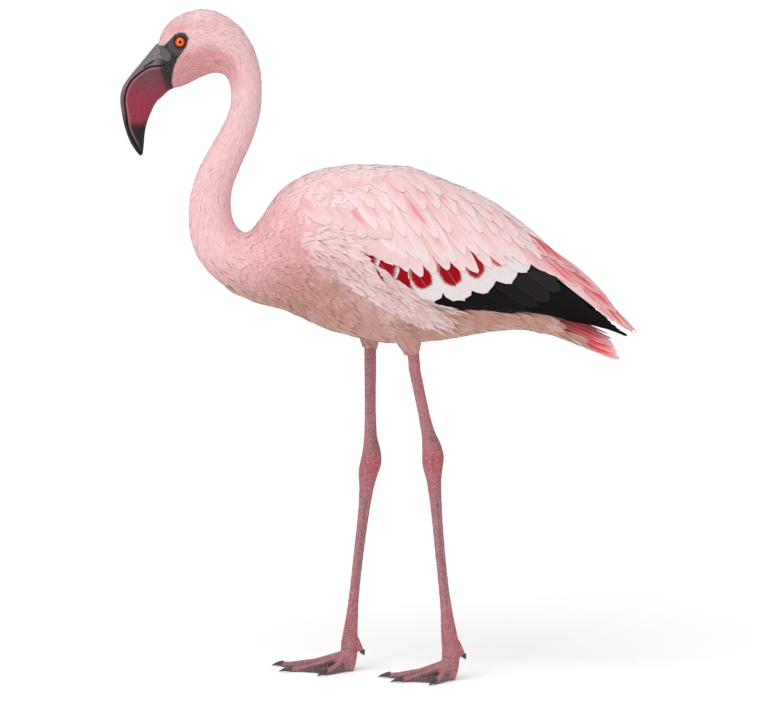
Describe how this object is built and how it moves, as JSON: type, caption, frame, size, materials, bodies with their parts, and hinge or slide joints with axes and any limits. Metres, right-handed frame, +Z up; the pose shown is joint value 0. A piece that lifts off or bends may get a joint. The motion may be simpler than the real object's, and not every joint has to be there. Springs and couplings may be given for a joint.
{
  "type": "flamingo",
  "caption": "Life-size still model of a standing lesser flamingo, pale pink with black flight feathers, a bent dark red bill and long rosy legs.",
  "frame": {"origin": "centre of the whole model's box, on the floor that its feet stand on", "axes": "+Z up, -Y the way the bird faces, +X its left side"},
  "size_m": [0.1806, 0.659, 0.8535],
  "materials": {
    "plumage": "soft matt feathers, pale pink",
    "flight_feathers": "satin black feathers",
    "bare_skin": "scaly rosy skin with grey webs",
    "horn": "satin horn, dark crimson and black",
    "claw": "satin dark grey horn",
    "eye": "wet gloss, orange red iris"
  },
  "bodies": {
    "root": {"ankle_left": "bare_skin", "ankle_right": "bare_skin", "bill_lower": "horn", "bill_upper": "horn", "claw_left_far": "claw", "claw_left_hind": "claw", "claw_left_middle": "claw", "claw_left_near": "claw", "claw_right_far": "claw", "claw_right_hind": "claw", "claw_right_middle": "claw", "claw_right_near": "claw", "eye_left": "eye", "eye_right": "eye", "flight_left": "flight_feathers", "flight_right": "flight_feathers", "foot_left": "bare_skin", "foot_right": "bare_skin", "hallux_left": "bare_skin", "hallux_right": "bare_skin", "head": "plumage", "neck_lower": "plumage", "neck_middle": "plumage", "neck_upper": "plumage", "shank_left": "bare_skin", "shank_right": "bare_skin", "tail": "plumage", "tarsus_left": "bare_skin", "tarsus_right": "bare_skin", "thigh_left": "plumage", "thigh_right": "plumage", "trunk": "plumage", "wing_left": "plumage", "wing_right": "plumage"}
  },
  "joints": []
}
